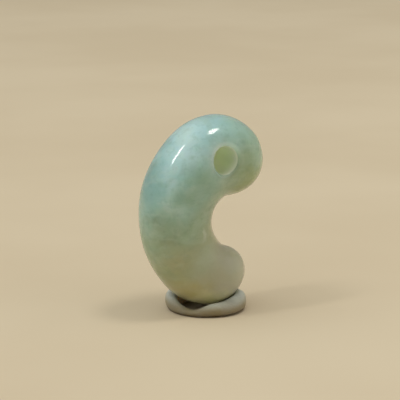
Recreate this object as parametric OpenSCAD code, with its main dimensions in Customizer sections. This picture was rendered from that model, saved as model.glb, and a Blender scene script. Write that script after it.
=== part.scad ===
// Comma-shaped jade bead (magatama) standing upright on a small putty ring.
// Millimetres. +Z is up, the bead's flat middle plane is XZ and its drilled
// cord hole runs along Y. The origin is on the surface that the ring rests
// on, under the middle of the bead's outline.

/* [Bead] */
// Centre of the cord hole to the right of the table's zero, mm
hole_x = 0.65; // [0.45:0.05:0.85]
// Height of the cord hole's axis, mm
hole_z = 16.2; // [15.9:0.05:16.5]
// Diameter of the drilled cord hole, mm
hole_d = 2.9; // [2:0.1:3.2]
// Half length of the hole's straight wall, mm
hole_half_wall = 3.4; // [3.2:0.05:3.5]
// How far the head runs on past the first table row, mm
head_reach = 4.55; // [4.2:0.05:5]
// Roundness power of the head's outline (2 is an ellipse)
head_power = 2; // [1.9:0.05:2.4]
// How far the tail runs on past the last table row, mm
tail_reach = 3.3; // [3:0.05:3.6]
// Roundness power of the tail's outline
tail_power = 2; // [1.9:0.05:2.4]
// Fullness power of a section towards the bead's back, polished to soft flats
back_power = 2.5; // [2:0.1:3]
// Fullness power of a section towards the notch (2 is an ellipse)
notch_power = 2; // [1.9:0.1:2.4]

/* [Ring stand] */
// Centre of the ring to the right of the middle, mm
ring_x = 0.77; // [0.75:0.01:0.79]
// Centre of the ring towards the back, mm
ring_y = 0.03; // [0.01:0.01:0.05]
// Roundness power of the ring's cross-section
ring_power = 2.3; // [2:0.1:2.6]

/* [Fineness] */
// Sections between the first and the last table row
rows_along = 46; // [24:2:50]
// Sections in each rounded end
rows_in_cap = 9; // [6:1:10]
// Points round one section of the bead
points_round = 44; // [32:4:48]
// Sections round the ring
ring_rows = 72; // [48:6:90]
// Points round one section of the ring
ring_points = 20; // [16:2:24]

/* [Hidden] */
// The bead is swept through these stations, from the head down the back to
// the tail. A station is a rib: its centre, half its width, the direction in
// which its outer edge lies (degrees from +X towards +Z) and half the bead's
// thickness there. The smooth curve runs close by the rows, not through them.
//     x     z  half_w lean  half_t
stations = [
    [ 2.55, 16.1, 4.45,  98,   3.7],   // head
    [ 0.0,  15.9, 4.6,  118,   3.7],   // crown
    [-3.05, 12.7, 4.3,  155,   3.6],   // shoulder
    [-3.3,   9.4, 3.9,  185,   3.4],   // middle of the back
    [-2.6,   6.9, 3.8,  207,   3.3],   // lower back
    [-0.5,   4.2, 3.7,  228,   3.1],   // heel
    [ 1.4,   3.5, 3.35, 238,   3.0]    // tail
];

// The ring is a hand-rolled rope of putty that the bead was pressed into: it
// stands high behind the bead and in front of the tail, and is squeezed low
// in front of the heel. One row every 30 degrees, from +X round by +Y.
//   inner_r outer_r height
ring_rows_table = [
    [2.60, 4.40, 1.50],   //   0
    [2.50, 4.55, 1.65],   //  30
    [2.40, 4.60, 1.70],   //  60
    [2.30, 4.55, 1.85],   //  90
    [2.30, 4.45, 1.85],   // 120
    [2.95, 4.25, 1.80],   // 150
    [3.40, 4.20, 1.35],   // 180
    [2.95, 4.15, 0.25],   // 210
    [3.15, 4.35, 1.60],   // 240
    [1.80, 4.40, 1.10],   // 270
    [2.35, 4.30, 1.60],   // 300
    [2.95, 4.15, 1.80]    // 330
];

// ---- smooth curve through table rows (uniform cubic B-spline) ----
function blend(t) = [pow(1 - t, 3), 3 * pow(t, 3) - 6 * t * t + 4,
                     -3 * pow(t, 3) + 3 * t * t + 3 * t + 1, pow(t, 3)] / 6;
function on_curve(rows, u) =
    let (k = min(floor(u), len(rows) - 4), b = blend(u - k))
    b[0] * rows[k] + b[1] * rows[k + 1] + b[2] * rows[k + 2] + b[3] * rows[k + 3];

// ---- the bead's ribs: [centre x, centre z, half-width x, half-width z, half_t] ----
ribs = [for (s = stations) [s[0], s[1], s[2] * cos(s[3]), s[2] * sin(s[3]), s[4]]];
last = len(ribs) - 1;
// Extra end rows: the centre line runs straight on, width and thickness level out.
function beyond(a, b) = [2 * a[0] - b[0], 2 * a[1] - b[1], b[2], b[3], b[4]];
padded = concat([beyond(ribs[0], ribs[1])], ribs, [beyond(ribs[last], ribs[last - 1])]);

function unit(v) = v / norm(v);
function round_off(s, power) = pow(max(0, 1 - pow(s, power)), 1 / power);
// Share of the thickness left at share s of the way out to an edge.
function thin_out(s, power) = sqrt(max(0, 1 - pow(s, power)));
function way(a, b) = unit([a[0] - b[0], a[1] - b[1]]);
// A rounded end: the rib moves on along the centre line and shrinks to a point.
function cap_rib(rib, dir, reach, power, s) =
    [rib[0] + dir[0] * reach * s, rib[1] + dir[1] * reach * s,
     rib[2] * round_off(s, power), rib[3] * round_off(s, power),
     rib[4] * thin_out(s, back_power)];

first_rib = on_curve(padded, 0);
last_rib = on_curve(padded, last);
head_way = way(ribs[0], ribs[1]);
tail_way = way(ribs[last], ribs[last - 1]);
all_ribs = concat(
    [for (i = [1:rows_in_cap]) cap_rib(first_rib, head_way, head_reach, head_power,
                                       cos(90 * i / (rows_in_cap + 1)))],
    [for (i = [0:rows_along]) on_curve(padded, last * i / rows_along)],
    [for (i = [1:rows_in_cap]) cap_rib(last_rib, tail_way, tail_reach, tail_power,
                                       sin(90 * i / (rows_in_cap + 1)))]);

// Point of the bead's unit section at angle a: fuller on its back half (towards
// +1) than on its notch half, with both faces level where the halves join.
function section(a) =
    let (power = cos(a) > 0 ? back_power : notch_power)
    [sign(cos(a)) * pow(abs(cos(a)), 2 / power), sin(a)];
function rib_points(rib) =
    [for (j = [0:points_round - 1])
        let (o = section(360 * j / points_round))
        [rib[0] + rib[2] * o[0], rib[4] * o[1], rib[1] + rib[3] * o[0]]];

head_tip = [first_rib[0] + head_way[0] * head_reach, 0, first_rib[1] + head_way[1] * head_reach];
tail_tip = [last_rib[0] + tail_way[0] * tail_reach, 0, last_rib[1] + tail_way[1] * tail_reach];
bead_shell = [for (rib = all_ribs) each rib_points(rib)];
bead_points = concat(bead_shell, [head_tip, tail_tip]);

// The outline's middle goes over the origin.
bead_xs = [for (p = bead_points) p[0]];
mid_x = (max(bead_xs) + min(bead_xs)) / 2;

// ---- faces of a tube of n rings of m points, numbered ring by ring ----
function tube_faces(n, m) =
    [for (i = [0:n - 2], j = [0:m - 1])
        let (a = i * m + j, b = i * m + (j + 1) % m)
        each [[a, a + m, b], [b, a + m, b + m]]];
function fan_faces(start, m, tip, flip) =
    [for (j = [0:m - 1])
        let (a = start + j, b = start + (j + 1) % m)
        flip ? [a, b, tip] : [b, a, tip]];

n_ribs = len(all_ribs);
bead_faces = concat(
    tube_faces(n_ribs, points_round),
    fan_faces(0, points_round, len(bead_shell), true),
    fan_faces((n_ribs - 1) * points_round, points_round, len(bead_shell) + 1, false));

// ---- the ring's points ----
ring_table = concat([ring_rows_table[11]], ring_rows_table,
                    [ring_rows_table[0], ring_rows_table[1]]);
// Point of a unit rounded outline (superellipse) at angle a.
function outline(a, power) =
    let (r = pow(pow(abs(cos(a)), power) + pow(abs(sin(a)), power), -1 / power))
    [r * cos(a), r * sin(a)];
// A section stands on the surface: its lower part dips below and is cut flat.
function ring_section(a) =
    let (r = on_curve(ring_table, a / 30),
         mid_r = (r[0] + r[1]) / 2, half_w = (r[1] - r[0]) / 2, h = r[2])
    [for (j = [0:ring_points - 1])
        let (o = outline(360 * j / ring_points, ring_power),
             rad = mid_r + half_w * o[0],
             z = 0.46 * h + h * o[1] * (o[1] > 0 ? 0.54 : 0.5))
        [ring_x + rad * cos(a), ring_y + rad * sin(a), z]];
ring_shell = [for (i = [0:ring_rows - 1]) each ring_section(360 * i / ring_rows)];
ring_faces =
    [for (i = [0:ring_rows - 1], j = [0:ring_points - 1])
        let (k = (i + 1) % ring_rows, l = (j + 1) % ring_points,
             a = i * ring_points + j, b = i * ring_points + l,
             c = k * ring_points + j, d = k * ring_points + l)
        each [[a, b, c], [b, d, c]]];

// One polished stone with a cord hole drilled through its head.
module bead() {
    color([0.55, 0.66, 0.58])
    translate([-mid_x, 0, 0])
    difference() {
        polyhedron(points = bead_points, faces = bead_faces, convexity = 6);
        translate([hole_x, 0, hole_z]) rotate([90, 0, 0]) {
            cylinder(d = hole_d, h = 12, center = true, $fn = 96);
            // both mouths open out a little
            for (side = [0, 180]) rotate([side, 0, 0])
                translate([0, 0, hole_half_wall])
                    cylinder(r1 = hole_d / 2, r2 = hole_d / 2 + 0.8, h = 0.8, $fn = 96);
        }
    }
}

// The ring under the bead, with a flat foot.
module ring_stand() {
    color([0.53, 0.54, 0.47])
    translate([-mid_x, 0, 0])
    difference() {
        polyhedron(points = ring_shell, faces = ring_faces, convexity = 6);
        translate([ring_x - 8, -8, -4]) cube([16, 16, 4]);
    }
}

bead();
ring_stand();
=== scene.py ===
import math

import bmesh
import bpy
import numpy as np
from mathutils import Matrix, Vector, noise


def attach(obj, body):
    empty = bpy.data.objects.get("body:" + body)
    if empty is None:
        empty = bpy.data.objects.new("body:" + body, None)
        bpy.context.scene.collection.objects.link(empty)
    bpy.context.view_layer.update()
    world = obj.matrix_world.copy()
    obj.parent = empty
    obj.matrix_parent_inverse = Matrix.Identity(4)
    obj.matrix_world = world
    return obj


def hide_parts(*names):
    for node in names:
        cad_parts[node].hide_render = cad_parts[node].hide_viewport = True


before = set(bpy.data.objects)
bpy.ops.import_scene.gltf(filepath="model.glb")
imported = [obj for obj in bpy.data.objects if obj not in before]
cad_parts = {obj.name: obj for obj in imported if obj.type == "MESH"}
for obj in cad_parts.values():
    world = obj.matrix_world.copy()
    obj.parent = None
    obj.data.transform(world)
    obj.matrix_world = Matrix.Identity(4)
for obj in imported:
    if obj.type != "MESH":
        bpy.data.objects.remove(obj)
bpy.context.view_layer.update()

MM = 0.001


def lin(r, g, b, a=1.0):
    """A colour given as 0-255 display values, as the linear colour that a shader takes."""
    def one(v):
        v /= 255.0
        return v / 12.92 if v <= 0.04045 else ((v + 0.055) / 1.055) ** 2.4
    return (one(r), one(g), one(b), a)


# ---------------------------------------------------------------- the bead's form
# The same table as the solid's: ribs from the head down the back to the tail.
#   x, z, half width, direction of the outer edge (degrees), half thickness   (mm)
STATIONS = [
    (2.55, 16.1, 4.45, 98, 3.7),   # head
    (0.0, 15.9, 4.6, 118, 3.7),    # crown
    (-3.05, 12.7, 4.3, 155, 3.6),  # shoulder
    (-3.3, 9.4, 3.9, 185, 3.4),    # middle of the back
    (-2.6, 6.9, 3.8, 207, 3.3),    # lower back
    (-0.5, 4.2, 3.7, 228, 3.1),    # heel
    (1.4, 3.5, 3.35, 238, 3.0),    # tail
]
HEAD_REACH, HEAD_POWER = 4.55, 2.0
TAIL_REACH, TAIL_POWER = 3.3, 2.0
BACK_POWER, NOTCH_POWER = 2.5, 2.0
HOLE_X, HOLE_Z, HOLE_R = 0.65, 16.2, 1.45
MOUTH = 0.42            # how far the polished mouth of the hole rounds over

RIBS = np.array([(x, z, w * math.cos(math.radians(d)), w * math.sin(math.radians(d)), t)
                 for x, z, w, d, t in STATIONS])
LAST = len(RIBS) - 1


def beyond(a, b):
    return np.array([2 * a[0] - b[0], 2 * a[1] - b[1], b[2], b[3], b[4]])


PADDED = np.vstack([beyond(RIBS[0], RIBS[1]), RIBS, beyond(RIBS[-1], RIBS[-2])])


def on_curve(rows, u):
    k = np.clip(np.floor(u).astype(int), 0, len(rows) - 4)
    t = (u - k)[:, None]
    return ((1 - t) ** 3 * rows[k] + (3 * t ** 3 - 6 * t * t + 4) * rows[k + 1]
            + (-3 * t ** 3 + 3 * t * t + 3 * t + 1) * rows[k + 2] + t ** 3 * rows[k + 3]) / 6


def round_off(s, power):
    return np.maximum(0, 1 - s ** power) ** (1 / power)


def thin_out(f):
    """Share of the thickness left at share f (-1 to 1) of the way out to an edge."""
    return np.sqrt(np.maximum(0, 1 - np.abs(f) ** np.where(f > 0, BACK_POWER, NOTCH_POWER)))


def way(a, b):
    v = a[:2] - b[:2]
    return v / np.hypot(*v)


HEAD_WAY, TAIL_WAY = way(RIBS[0], RIBS[1]), way(RIBS[-1], RIBS[-2])


def rib_at(w):
    """Ribs at places w: 0 to LAST runs along the table, -1 is the head's tip and LAST + 1 the tail's."""
    w = np.atleast_1d(np.asarray(w, float))
    r = on_curve(PADDED, np.clip(w, 0, LAST))
    for s, d, reach, power in ((np.clip(-w, 0, 1), HEAD_WAY, HEAD_REACH, HEAD_POWER),
                               (np.clip(w - LAST, 0, 1), TAIL_WAY, TAIL_REACH, TAIL_POWER)):
        r[:, 0] += d[0] * reach * s
        r[:, 1] += d[1] * reach * s
        r[:, 2:4] *= round_off(s, power)[:, None]
        r[:, 4] *= thin_out(s)
    return r


def outline(a, power):
    c, s = np.cos(a), np.sin(a)
    r = (np.abs(c) ** power + np.abs(s) ** power) ** (-1 / power)
    return r * c, r * s


def section(a):
    """The bead's unit section: fuller on its back half (+1) than on its notch half."""
    c = np.cos(a)
    return np.sign(c) * np.abs(c) ** (2 / np.where(c > 0, BACK_POWER, NOTCH_POWER)), np.sin(a)


def half_thickness(x, z, w, f):
    """The bead's half thickness over points (x, z), found from first guesses of the place w and the share f of a rib."""
    for _ in range(12):
        r = rib_at(w)
        e = np.stack([r[:, 0] + r[:, 2] * f - x, r[:, 1] + r[:, 3] * f - z], 1)
        q = rib_at(w + 1e-4)
        jw = (np.stack([q[:, 0] + q[:, 2] * f, q[:, 1] + q[:, 3] * f], 1)
              - np.stack([r[:, 0] + r[:, 2] * f, r[:, 1] + r[:, 3] * f], 1)) / 1e-4
        jf = r[:, 2:4]
        det = jw[:, 0] * jf[:, 1] - jw[:, 1] * jf[:, 0]
        w = w - (e[:, 0] * jf[:, 1] - e[:, 1] * jf[:, 0]) / det
        f = f - (jw[:, 0] * e[:, 1] - jw[:, 1] * e[:, 0]) / det
    return rib_at(w)[:, 4] * thin_out(f), w, f


def bead_mesh(along=190, in_cap=44, around=224):
    turn = np.linspace(0, np.pi / 2, in_cap + 1)
    places = np.concatenate([-np.cos(turn[1:-1]), np.linspace(0, LAST, along),
                             LAST + np.sin(turn[1:-1])])
    ribs = rib_at(places)
    ang = 2 * np.pi * np.arange(around) / around
    f, g = section(ang)
    X = ribs[:, 0:1] + ribs[:, 2:3] * f
    Z = ribs[:, 1:2] + ribs[:, 3:4] * f
    Y = ribs[:, 4:5] * g
    n, m = X.shape
    pts = np.stack([X, Y, Z], -1).reshape(-1, 3)

    # the block of the net round the hole, on the +Y half; the -Y half mirrors it
    near = (np.hypot(X - HOLE_X, Z - HOLE_Z) < HOLE_R + MOUTH + 0.22) & (Y > 0)
    ii, jj = np.where(near)
    i0, i1, j0, j1 = ii.min() - 1, ii.max() + 1, jj.min() - 1, jj.max() + 1
    loop = ([(i, j0) for i in range(i0, i1)] + [(i1, j) for j in range(j0, j1)]
            + [(i, j1) for i in range(i1, i0, -1)] + [(i0, j) for j in range(j1, j0, -1)])
    li, lj = np.array(loop).T
    lx, lz = X[li, lj], Z[li, lj]
    fi = np.arctan2(lz - HOLE_Z, lx - HOLE_X)
    w0, f0 = places[li].astype(float), f[lj].copy()

    def sheet(rho_share, radius, drop):
        """A ring of points: from the block's edge (share 0) to a circle of that radius (share 1). drop is only
        handed back, not used.
        """
        cx, cz = HOLE_X + radius * np.cos(fi), HOLE_Z + radius * np.sin(fi)
        x, z = lx + (cx - lx) * rho_share, lz + (cz - lz) * rho_share
        return x, z, drop

    rings = []
    mouth_r = HOLE_R + MOUTH
    guess_w, guess_f = w0, f0
    steps = 7
    for k in range(1, steps + 1):
        x, z, d = sheet(k / steps, mouth_r, 0.0)
        t, guess_w, guess_f = half_thickness(x, z, guess_w, guess_f)
        rings.append((x, t, z))
    for a in np.linspace(0, np.pi / 2, 10)[1:]:
        rho = HOLE_R + MOUTH * (1 - math.sin(a))
        x, z, d = sheet(1.0, rho, 0.0)
        t, guess_w, guess_f = half_thickness(x, z, guess_w, guess_f)
        rings.append((x, t - MOUTH * (1 - math.cos(a)), z))
    edge = rings[-1]
    deep = 26
    for k in range(1, deep):
        rings.append((edge[0], edge[1] * (1 - k / deep), edge[2]))

    verts = [tuple(p) for p in pts]
    faces = []

    def in_block(i, j):
        if i0 <= i < i1 and j0 <= j < j1:
            return True
        return i0 <= i < i1 and m - j1 <= j < m - j0

    for i in range(n - 1):
        for j in range(m):
            if not in_block(i, j):
                k = (j + 1) % m
                faces.append((i * m + j, (i + 1) * m + j, (i + 1) * m + k, i * m + k))
    tips = []
    for row, d, reach, w in ((0, HEAD_WAY, HEAD_REACH, 0.0), (n - 1, TAIL_WAY, TAIL_REACH, float(LAST))):
        r = on_curve(PADDED, np.array([w]))[0]
        verts.append((r[0] + d[0] * reach, 0.0, r[1] + d[1] * reach))
        tips.append(len(verts) - 1)
        for j in range(m):
            k = (j + 1) % m
            faces.append((tips[-1], row * m + k, row * m + j))

    middle = None
    size = len(loop)
    for side in (1, -1):
        prev = [i * m + (j if side > 0 else (m - j) % m) for i, j in loop]
        for x, y, z in rings:
            base = len(verts)
            verts.extend(zip(x, side * y, z))
            now = list(range(base, base + size))
            for q in range(size):
                p = (q + 1) % size
                faces.append((prev[q], prev[p], now[p], now[q]))
            prev = now
        if middle is None:
            middle = len(verts)
            verts.extend(zip(edge[0], 0 * edge[1], edge[2]))
        now = list(range(middle, middle + size))
        for q in range(size):
            p = (q + 1) % size
            faces.append((prev[q], prev[p], now[p], now[q]))

    verts = np.array(verts)
    verts[:, 0] -= MID_X
    # drawn in by a hair, so that the fine skin stays inside the box of the faceted solid
    middle_z = (verts[:, 2].max() + verts[:, 2].min()) / 2
    verts = (verts - (0, 0, middle_z)) * 0.9985 + (0, 0, middle_z)
    return verts * MM, faces


MID_X = 0.0
_w = np.linspace(-1, LAST + 1, 4001)
_r = rib_at(_w)
_half = np.abs(_r[:, 2])
MID_X = float(((_r[:, 0] + _half).max() + (_r[:, 0] - _half).min()) / 2)


def new_object(name, verts, faces):
    mesh = bpy.data.meshes.new(name)
    bm = bmesh.new()
    vs = [bm.verts.new(v) for v in verts]
    for f in faces:
        bm.faces.new([vs[k] for k in f])
    loose = [v for v in bm.verts if not v.link_faces]
    bmesh.ops.delete(bm, geom=loose, context="VERTS")
    bmesh.ops.recalc_face_normals(bm, faces=bm.faces)
    if bm.calc_volume(signed=True) < 0:
        bmesh.ops.reverse_faces(bm, faces=bm.faces)
    for f in bm.faces:
        f.smooth = True
    bm.to_mesh(mesh)
    bm.free()
    obj = bpy.data.objects.new(name, mesh)
    bpy.context.scene.collection.objects.link(obj)
    return obj


# ---------------------------------------------------------------- the ring's form
# One row every 30 degrees, from +X round by +Y: inner radius, outer radius, height (mm)
RING = np.array([
    (2.60, 4.40, 1.50), (2.50, 4.55, 1.65), (2.40, 4.60, 1.70), (2.30, 4.55, 1.85),
    (2.30, 4.45, 1.85), (2.95, 4.25, 1.80), (3.40, 4.20, 1.35), (2.95, 4.15, 0.25),
    (3.15, 4.35, 1.60), (1.80, 4.40, 1.10), (2.35, 4.30, 1.60), (2.95, 4.15, 1.80),
])
RING_X, RING_Y, RING_POWER = 0.77, 0.03, 2.3


def ring_mesh(rows=260, around=64):
    table = np.vstack([RING[-1], RING, RING[0], RING[1]])
    a = 2 * np.pi * np.arange(rows) / rows
    r = on_curve(table, 12 * np.arange(rows) / rows)
    mid, half, h = (r[:, 0] + r[:, 1]) / 2, (r[:, 1] - r[:, 0]) / 2, r[:, 2]
    f, g = outline(2 * np.pi * np.arange(around) / around, RING_POWER)
    rad = mid[:, None] + half[:, None] * f
    z = 0.46 * h[:, None] + h[:, None] * g * np.where(g > 0, 0.54, 0.5)
    verts = []
    for i in range(rows):
        for j in range(around):
            # shallow finger marks, pressed in only, so the rope stays inside its solid
            x, y = rad[i, j] * math.cos(a[i]), rad[i, j] * math.sin(a[i])
            p = Vector((x, y, z[i, j]))
            press = 0.5 + 0.5 * noise.noise(p * 0.85 + Vector((3.1, 7.7, 1.3)))
            press = 0.045 * press + 0.012 * (0.5 + 0.5 * noise.noise(p * 3.1))
            rr = mid[i] + half[i] * f[j] * (1 - press / max(half[i], 0.2))
            zz = 0.46 * h[i] + h[i] * g[j] * (0.54 if g[j] > 0 else 0.5) * (1 - press)
            verts.append((rr * math.cos(a[i]) + RING_X - MID_X, rr * math.sin(a[i]) + RING_Y, max(zz, 0.0)))
    faces = []
    for i in range(rows):
        k = (i + 1) % rows
        for j in range(around):
            l = (j + 1) % around
            faces.append((i * around + j, k * around + j, k * around + l, i * around + l))
    return np.array(verts) * MM, faces


# ---------------------------------------------------------------- node helpers
class Net:
    """Short names for building a material's nodes."""

    def __init__(self, name):
        self.mat = bpy.data.materials.new(name)
        self.mat.use_nodes = True
        self.t = self.mat.node_tree
        self.t.nodes.clear()
        self.out = self.t.nodes.new("ShaderNodeOutputMaterial")
        co = self.t.nodes.new("ShaderNodeTexCoord")
        scale = self.t.nodes.new("ShaderNodeVectorMath")
        scale.operation = "SCALE"
        self.t.links.new(co.outputs["Object"], scale.inputs[0])
        scale.inputs["Scale"].default_value = 1 / MM
        self.mm = scale.outputs[0]          # place on the object, in millimetres

    def link(self, a, b):
        self.t.links.new(a, b)

    def put(self, socket, value):
        if isinstance(value, bpy.types.NodeSocket):
            self.link(value, socket)
        else:
            socket.default_value = value

    def math(self, op, a, b=0.0, c=0.0, clamp=False):
        n = self.t.nodes.new("ShaderNodeMath")
        n.operation, n.use_clamp = op, clamp
        self.put(n.inputs[0], a)
        self.put(n.inputs[1], b)
        self.put(n.inputs[2], c)
        return n.outputs[0]

    def xyz(self, vec=None):
        n = self.t.nodes.new("ShaderNodeSeparateXYZ")
        self.link(vec or self.mm, n.inputs[0])
        return n.outputs

    def shifted(self, by, scale=(1, 1, 1), turn=(0, 0, 0)):
        n = self.t.nodes.new("ShaderNodeMapping")
        self.link(self.mm, n.inputs["Vector"])
        n.inputs["Location"].default_value = by
        n.inputs["Rotation"].default_value = turn
        n.inputs["Scale"].default_value = scale
        return n.outputs[0]

    def noise(self, scale, detail=4.0, rough=0.5, warp=0.0, vec=None):
        n = self.t.nodes.new("ShaderNodeTexNoise")
        self.link(vec or self.mm, n.inputs["Vector"])
        n.inputs["Scale"].default_value = scale
        n.inputs["Detail"].default_value = detail
        n.inputs["Roughness"].default_value = rough
        n.inputs["Distortion"].default_value = warp
        return n.outputs["Fac"]

    def spread(self, value, lo, hi, to_lo=0.0, to_hi=1.0, smooth=True):
        n = self.t.nodes.new("ShaderNodeMapRange")
        n.interpolation_type = "SMOOTHSTEP" if smooth else "LINEAR"
        n.clamp = True
        self.put(n.inputs["Value"], value)
        for k, v in (("From Min", lo), ("From Max", hi), ("To Min", to_lo), ("To Max", to_hi)):
            n.inputs[k].default_value = v
        return n.outputs["Result"]

    def ramp(self, value, stops):
        n = self.t.nodes.new("ShaderNodeValToRGB")
        n.color_ramp.interpolation = "EASE"
        el = n.color_ramp.elements
        while len(el) < len(stops):
            el.new(0.5)
        for e, (p, c) in zip(el, stops):
            e.position, e.color = p, c
        self.put(n.inputs[0], value)
        return n.outputs["Color"]

    def mix(self, fac, a, b, mode="MIX"):
        n = self.t.nodes.new("ShaderNodeMix")
        n.data_type, n.blend_type = "RGBA", mode
        self.put(n.inputs[0], fac)
        self.put(n.inputs[6], a)
        self.put(n.inputs[7], b)
        return n.outputs[2]

    def bump(self, height, strength, distance, normal=None):
        n = self.t.nodes.new("ShaderNodeBump")
        n.inputs["Strength"].default_value = strength
        n.inputs["Distance"].default_value = distance
        self.link(height, n.inputs["Height"])
        if normal:
            self.link(normal, n.inputs["Normal"])
        return n.outputs["Normal"]

    def warped(self, scale, amount):
        """Places in millimetres, pushed about by a soft noise, for shapes with cloudy edges."""
        n = self.t.nodes.new("ShaderNodeTexNoise")
        self.link(self.mm, n.inputs["Vector"])
        n.inputs["Scale"].default_value = scale
        n.inputs["Detail"].default_value = 3.0
        push = self.vector("SUBTRACT", n.outputs["Color"], (0.5, 0.5, 0.5))
        return self.vector("ADD", self.mm, self.vector("SCALE", push, scale=amount))

    def vector(self, op, a, b=None, scale=None):
        n = self.t.nodes.new("ShaderNodeVectorMath")
        n.operation = op
        self.put(n.inputs[0], a)
        if b is not None:
            self.put(n.inputs[1], b)
        if scale is not None:
            n.inputs["Scale"].default_value = scale
        return n.outputs["Value"] if op == "LENGTH" else n.outputs["Vector"]

    def cloud(self, vec, centre, size, strength):
        """A soft oval cloud: full strength in its middle, nothing at its edge."""
        away = self.vector("DIVIDE", self.vector("SUBTRACT", vec, centre), size)
        return self.spread(self.vector("LENGTH", away), 1.25, 0.15, 0.0, strength)

    def surface(self, **values):
        n = self.t.nodes.new("ShaderNodeBsdfPrincipled")
        for key, v in values.items():
            self.put(n.inputs[key.replace("_", " ")], v)
        self.link(n.outputs[0], self.out.inputs["Surface"])
        return n


# Clouds and pools that the photograph shows in the stone, and a few like them on
# the side that it doesn't show: middle (mm), half size (mm), colour, strength
CLOUDS = [
    # painted light in part: the bright crown is the stone's own pale blue with a painted sheen of light from above
    ((-2.2, -0.2, 19.2), (3.4, 2.6, 1.8), (186, 222, 228), 0.60),   # bright crown
    ((-3.4, -2.5, 16.7), (2.1, 1.8, 2.1), (190, 218, 224), 0.62),
    ((5.0, -2.8, 16.9), (1.9, 2.4, 3.2), (166, 200, 192), 0.60),    # cool rim of the head
    ((-6.2, 0.2, 14.5), (1.8, 2.6, 3.6), (118, 158, 156), 0.60),    # sea-blue back
    ((-5.6, -2.4, 13.9), (0.9, 1.2, 1.5), (188, 214, 216), 0.50),   # pale wisps
    ((-6.1, -2.2, 12.6), (0.9, 1.2, 1.0), (180, 206, 204), 0.40),
    ((-2.7, -3.4, 14.7), (2.0, 1.8, 2.0), (122, 142, 100), 0.30),    # olive pool
    ((-4.4, -3.2, 12.9), (2.0, 1.6, 1.3), (122, 142, 100), 0.34),
    ((-5.6, -2.6, 11.5), (2.5, 2.0, 0.5), (176, 198, 194), 0.38),   # level band
    ((-6.9, -1.2, 10.7), (0.9, 1.4, 0.8), (112, 136, 112), 0.42),
    ((-6.7, -1.7, 9.6), (1.0, 1.4, 0.6), (170, 186, 170), 0.22),
    ((-6.1, -1.9, 10.0), (2.1, 2.2, 2.1), (132, 138, 96), 0.34),    # greener side
    ((-6.0, -1.8, 8.2), (2.2, 2.2, 0.9), (126, 126, 82), 0.25),     # dark band
    ((-4.6, -2.4, 6.4), (3.0, 2.6, 2.0), (176, 168, 138), 0.40),
    ((3.9, -2.0, 14.0), (2.8, 3.0, 1.8), (137, 152, 72), 0.50),     # under the head
    ((-3.0, -1.6, 2.8), (3.2, 2.6, 1.8), (172, 162, 88), 0.45),     # heel
    # painted light: the lower rim is made paler to stand in for light bounced up from the putty and the floor
    ((-0.4, -2.4, 1.7), (3.6, 2.1, 1.1), (222, 220, 178), 0.70),    # light lower rim
    ((1.2, -2.2, 5.4), (3.0, 2.4, 2.4), (158, 160, 146), 0.36),     # tail
    ((-1.9, -3.2, 6.2), (2.6, 1.8, 2.6), (168, 182, 172), 0.42),    # grey-blue lower body
    ((-2.1, -3.2, 8.8), (0.3, 0.7, 0.8), (200, 208, 196), 0.45),
    ((-3.8, 3.0, 15.2), (1.6, 1.4, 1.4), (112, 134, 96), 0.50),
    ((1.6, 3.2, 18.0), (2.2, 1.6, 1.0), (184, 212, 204), 0.45),
    ((-5.4, 2.4, 10.4), (1.8, 1.6, 0.8), (176, 190, 166), 0.40),
    ((-4.0, 2.6, 7.0), (1.6, 1.6, 1.0), (116, 124, 82), 0.45),
]


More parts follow.
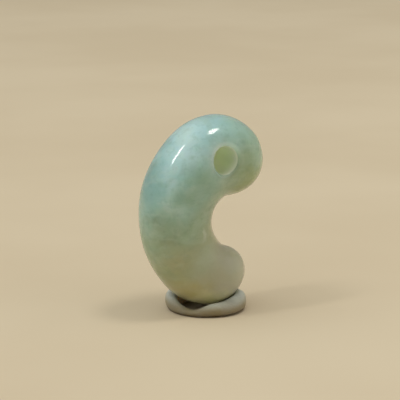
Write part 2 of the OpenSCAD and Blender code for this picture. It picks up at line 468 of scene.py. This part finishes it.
def jade():
    m = Net("jade")
    x, y, z = m.xyz()
    drift = m.noise(0.15, 2.0, 0.5, 0.3, m.shifted((9.0, 3.0, 5.0)))
    haze = m.noise(0.42, 3.0, 0.5, 0.3, m.shifted((4.0, 1.5, 2.0)))
    bands = m.noise(0.60, 3.0, 0.55, 0.2, m.shifted((2.0, 8.0, 1.0), (0.5, 0.8, 1.7), (0.0, 0.25, 0.0)))
    mottle = m.noise(1.5, 4.0, 0.55, 0.2, m.shifted((1.0, 6.0, 3.0)))
    grain = m.noise(5.0, 3.0, 0.6)

    # sea-blue along the crown and the back, olive towards the notch and the foot: partly the stone's own colour,
    # partly painted light, a cool sheen from above on the crown and a warm bounce from below at the foot
    place = m.math("ADD", z, m.math("MULTIPLY", x, -0.8))
    place = m.math("ADD", place, m.math("MULTIPLY", m.math("SUBTRACT", drift, 0.5), 4.0))
    base = m.ramp(m.spread(place, 0.0, 20.0, smooth=False), [
        (0.00, lin(178, 177, 162)),
        (0.25, lin(170, 170, 146)),
        (0.45, lin(154, 164, 132)),
        (0.65, lin(148, 171, 150)),
        (0.82, lin(152, 187, 182)),
        (1.00, lin(160, 200, 206)),
    ])
    vec = m.warped(0.7, 1.6)
    for middle, size, colour, strength in CLOUDS:
        base = m.mix(m.cloud(vec, middle, size, strength), base, lin(*colour))

    # a faint haze, level smears and small mottling, stronger in the blue part
    blue = m.spread(place, 4.0, 14.0)
    milk = m.spread(haze, 0.50, 0.70)
    base = m.mix(m.math("MULTIPLY", milk, m.math("MULTIPLY_ADD", blue, 0.12, 0.08)), base, lin(196, 210, 200))
    pool = m.spread(haze, 0.48, 0.32)
    base = m.mix(m.math("MULTIPLY", pool, m.math("MULTIPLY_ADD", blue, 0.14, 0.06)), base, lin(118, 142, 116))
    smear = m.spread(bands, 0.46, 0.68)
    base = m.mix(m.math("MULTIPLY", smear, m.math("MULTIPLY_ADD", blue, 0.14, 0.03)), base, lin(188, 206, 200))
    dark = m.spread(mottle, 0.50, 0.34)
    base = m.mix(m.math("MULTIPLY", dark, m.math("MULTIPLY_ADD", blue, 0.12, 0.03)), base, lin(104, 136, 122))
    fine = m.spread(grain, 0.3, 0.7)
    base = m.mix(m.math("MULTIPLY", fine, 0.05), base, lin(124, 138, 112))

    # the drilled wall of the hole is unpolished, and the mouths' rims are
    # a little paler at the top and darker at the bottom: a painted highlight on the upper rim and painted shade on
    # the lower rim
    dx = m.math("SUBTRACT", x, HOLE_X - MID_X)
    dz = m.math("SUBTRACT", z, HOLE_Z)
    rho = m.math("SQRT", m.math("ADD", m.math("MULTIPLY", dx, dx), m.math("MULTIPLY", dz, dz)))
    wall = m.spread(rho, HOLE_R + 0.08, HOLE_R + 0.01)
    rim = m.spread(rho, HOLE_R + 0.65, HOLE_R + 0.25)
    base = m.mix(m.math("MULTIPLY", m.math("MULTIPLY", rim, m.spread(dz, 0.2, 1.3)), 0.45),
                 base, lin(192, 226, 220))
    base = m.mix(m.math("MULTIPLY", m.math("MULTIPLY", rim, m.spread(dz, -0.1, -1.2)), 0.30),
                 base, lin(112, 128, 92))
    # painted light: the bore's wall is painted pale, and paler deeper in, to stand in for light glowing through
    # the stone and to offset the bore's shade
    inside = m.mix(m.spread(m.math("ABSOLUTE", y), 3.2, 0.6), lin(200, 211, 201), lin(223, 232, 216))
    base = m.mix(m.math("MULTIPLY", wall, 0.92), base, inside)
    rough = m.math("ADD", 0.125, m.math("MULTIPLY", fine, 0.03))
    rough = m.math("ADD", rough, m.math("MULTIPLY", wall, 0.35))

    turned = m.noise(1.0, 3.0, 0.6, 0.0, m.shifted((0, 0, 0), (0.4, 9.0, 0.4)))
    relief = m.math("ADD", m.math("MULTIPLY", m.noise(0.9, 2.0, 0.5), 0.8),
                    m.math("MULTIPLY", m.math("MULTIPLY", turned, wall), 3.0))
    normal = m.bump(relief, 0.06, 0.04 * MM)
    m.surface(Base_Color=base, Roughness=rough, IOR=1.6, Normal=normal,
              Subsurface_Weight=1.0, Subsurface_Radius=(1.0, 1.1, 0.8), Subsurface_Scale=7.0 * MM,
              Coat_Weight=0.4, Coat_Roughness=0.08)
    return m.mat


def putty():
    m = Net("putty")
    x, y, z = m.xyz()
    broad = m.noise(0.6, 3.0, 0.5, 0.3)
    fine = m.noise(5.0, 5.0, 0.6)
    # painted light: darker and browner towards the floor for painted contact shade and warm bounce, paler and
    # cooler towards the top for painted light from above
    base = m.ramp(m.spread(z, 0.0, 1.7, smooth=False), [
        (0.0, lin(84, 66, 36)), (0.35, lin(146, 136, 106)), (1.0, lin(190, 197, 190))])
    base = m.mix(m.math("MULTIPLY", m.spread(broad, 0.35, 0.65), 0.3), base, lin(146, 144, 140))
    base = m.mix(m.math("MULTIPLY", m.spread(fine, 0.35, 0.7), 0.18), base, lin(108, 108, 96))
    # inside the ring, under the stone, the putty is painted paler and warmer: painted light standing in for light
    # bounced into the hollow
    dx = m.math("SUBTRACT", x, RING_X - MID_X)
    dy = m.math("SUBTRACT", y, RING_Y)
    rho = m.math("SQRT", m.math("ADD", m.math("MULTIPLY", dx, dx), m.math("MULTIPLY", dy, dy)))
    under = m.math("MULTIPLY", m.spread(rho, 3.65, 3.05), m.spread(y, -2.6, -1.2))
    under = m.math("MULTIPLY", under, m.spread(z, 1.55, 0.95))
    base = m.mix(m.math("MULTIPLY", under, 0.9), base, lin(218, 210, 190))
    rough = m.spread(fine, 0.2, 0.8, 0.55, 0.72)
    normal = m.bump(m.math("ADD", broad, m.math("MULTIPLY", fine, 0.3)), 0.35, 0.08 * MM)
    m.surface(Base_Color=base, Roughness=rough, IOR=1.45, Normal=normal,
              Subsurface_Weight=0.75, Subsurface_Radius=(1.0, 0.9, 0.75), Subsurface_Scale=1.8 * MM)
    return m.mat


bead = new_object("bead_polished", *bead_mesh())
bead.data.materials.append(jade())
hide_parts("bead")
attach(bead, "root")

ring = new_object("ring_putty", *ring_mesh())
ring.data.materials.append(putty())
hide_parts("ring_stand")
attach(ring, "root")

# ---------------------------------------------------------------- floor, lights, camera
def floor_material():
    m = Net("floor")
    tone = m.noise(0.02, 3.0, 0.5)
    base = m.mix(m.spread(tone, 0.3, 0.7), lin(216, 200, 172), lin(222, 207, 180))
    m.surface(Base_Color=base, Roughness=0.7)
    return m.mat


mesh = bpy.data.meshes.new("floor")
S = 1.5
mesh.from_pydata([(-S, -S, 0), (S, -S, 0), (S, S, 0), (-S, S, 0)], [], [(0, 1, 2, 3)])
floor = bpy.data.objects.new("floor", mesh)
bpy.context.scene.collection.objects.link(floor)
floor.data.materials.append(floor_material())
floor.location.z = -0.00001

AIM = Vector((0.0, 0.0, 0.010))


def lamp(name, direction, distance, width, length, along, power, colour):
    """An oval lamp shining at the bead from that direction, its long axis lying along the given vector."""
    light = bpy.data.lights.new(name, "AREA")
    light.shape = "ELLIPSE"
    light.size, light.size_y = length, width
    light.energy = power
    light.color = colour
    obj = bpy.data.objects.new(name, light)
    bpy.context.scene.collection.objects.link(obj)
    d = Vector(direction).normalized()
    a = Vector(along)
    a = (a - d * a.dot(d)).normalized()
    obj.rotation_mode = "QUATERNION"
    obj.rotation_quaternion = Matrix((a, d.cross(a), d)).transposed().to_quaternion()
    obj.location = AIM + d * distance
    return obj


lamp("lamp_left", (-0.66, 0.145, 1.0), 0.50, 0.042, 0.16, (0.825, 0.07, 0.56), 0.24, (1.0, 0.98, 0.95))
lamp("lamp_right", (0.237, -0.244, 1.0), 0.50, 0.105, 0.14, (0.87, 0.49, -0.10), 0.42, (1.0, 0.97, 0.92))
lamp("softbox_warm", (0.75, -0.75, 0.55), 0.60, 0.90, 0.90, (1.0, 1.0, 0.0), 0.58, (1.0, 0.96, 0.88))

world = bpy.data.worlds.new("world")
world.use_nodes = True
tree = world.node_tree
bg = tree.nodes["Background"]
bg.inputs[0].default_value = lin(236, 226, 206)
bg.inputs[1].default_value = 0.42
# a wide cool glow over the bead's back, as from a big window or a bounced light
where = tree.nodes.new("ShaderNodeTexCoord")
lobe = tree.nodes.new("ShaderNodeVectorMath")
lobe.operation = "DOT_PRODUCT"
lobe.inputs[1].default_value = Vector((-0.50, 0.22, 1.0)).normalized()
tree.links.new(where.outputs["Generated"], lobe.inputs[0])
upper = tree.nodes.new("ShaderNodeMath")
upper.operation = "MAXIMUM"
upper.inputs[1].default_value = 0.0
tree.links.new(lobe.outputs["Value"], upper.inputs[0])
fall = tree.nodes.new("ShaderNodeMath")
fall.operation = "POWER"
fall.inputs[1].default_value = 6.0
tree.links.new(upper.outputs[0], fall.inputs[0])
level = tree.nodes.new("ShaderNodeMath")
level.operation = "MULTIPLY"
level.inputs[1].default_value = 1.35
tree.links.new(fall.outputs[0], level.inputs[0])
glow = tree.nodes.new("ShaderNodeBackground")
glow.inputs[0].default_value = (0.88, 0.96, 1.0, 1.0)
tree.links.new(level.outputs[0], glow.inputs[1])
both = tree.nodes.new("ShaderNodeAddShader")
tree.links.new(bg.outputs[0], both.inputs[0])
tree.links.new(glow.outputs[0], both.inputs[1])
tree.links.new(both.outputs[0], tree.nodes["World Output"].inputs["Surface"])
bpy.context.scene.world = world

cam_data = bpy.data.cameras.new("camera")
cam = bpy.data.objects.new("camera", cam_data)
bpy.context.scene.collection.objects.link(cam)
cam_data.sensor_width = 36.0
cam_data.lens = 162.0
cam_data.clip_start, cam_data.clip_end = 0.01, 10.0
cam.location = Vector((-108.87, -145.50, 50.85)) * MM
look = Vector((0.58504, 0.78306, -0.21107))
cam.rotation_mode = "QUATERNION"
cam.rotation_quaternion = look.to_track_quat("-Z", "Y")
bpy.context.scene.camera = cam
bpy.context.scene.view_settings.view_transform = "Standard"
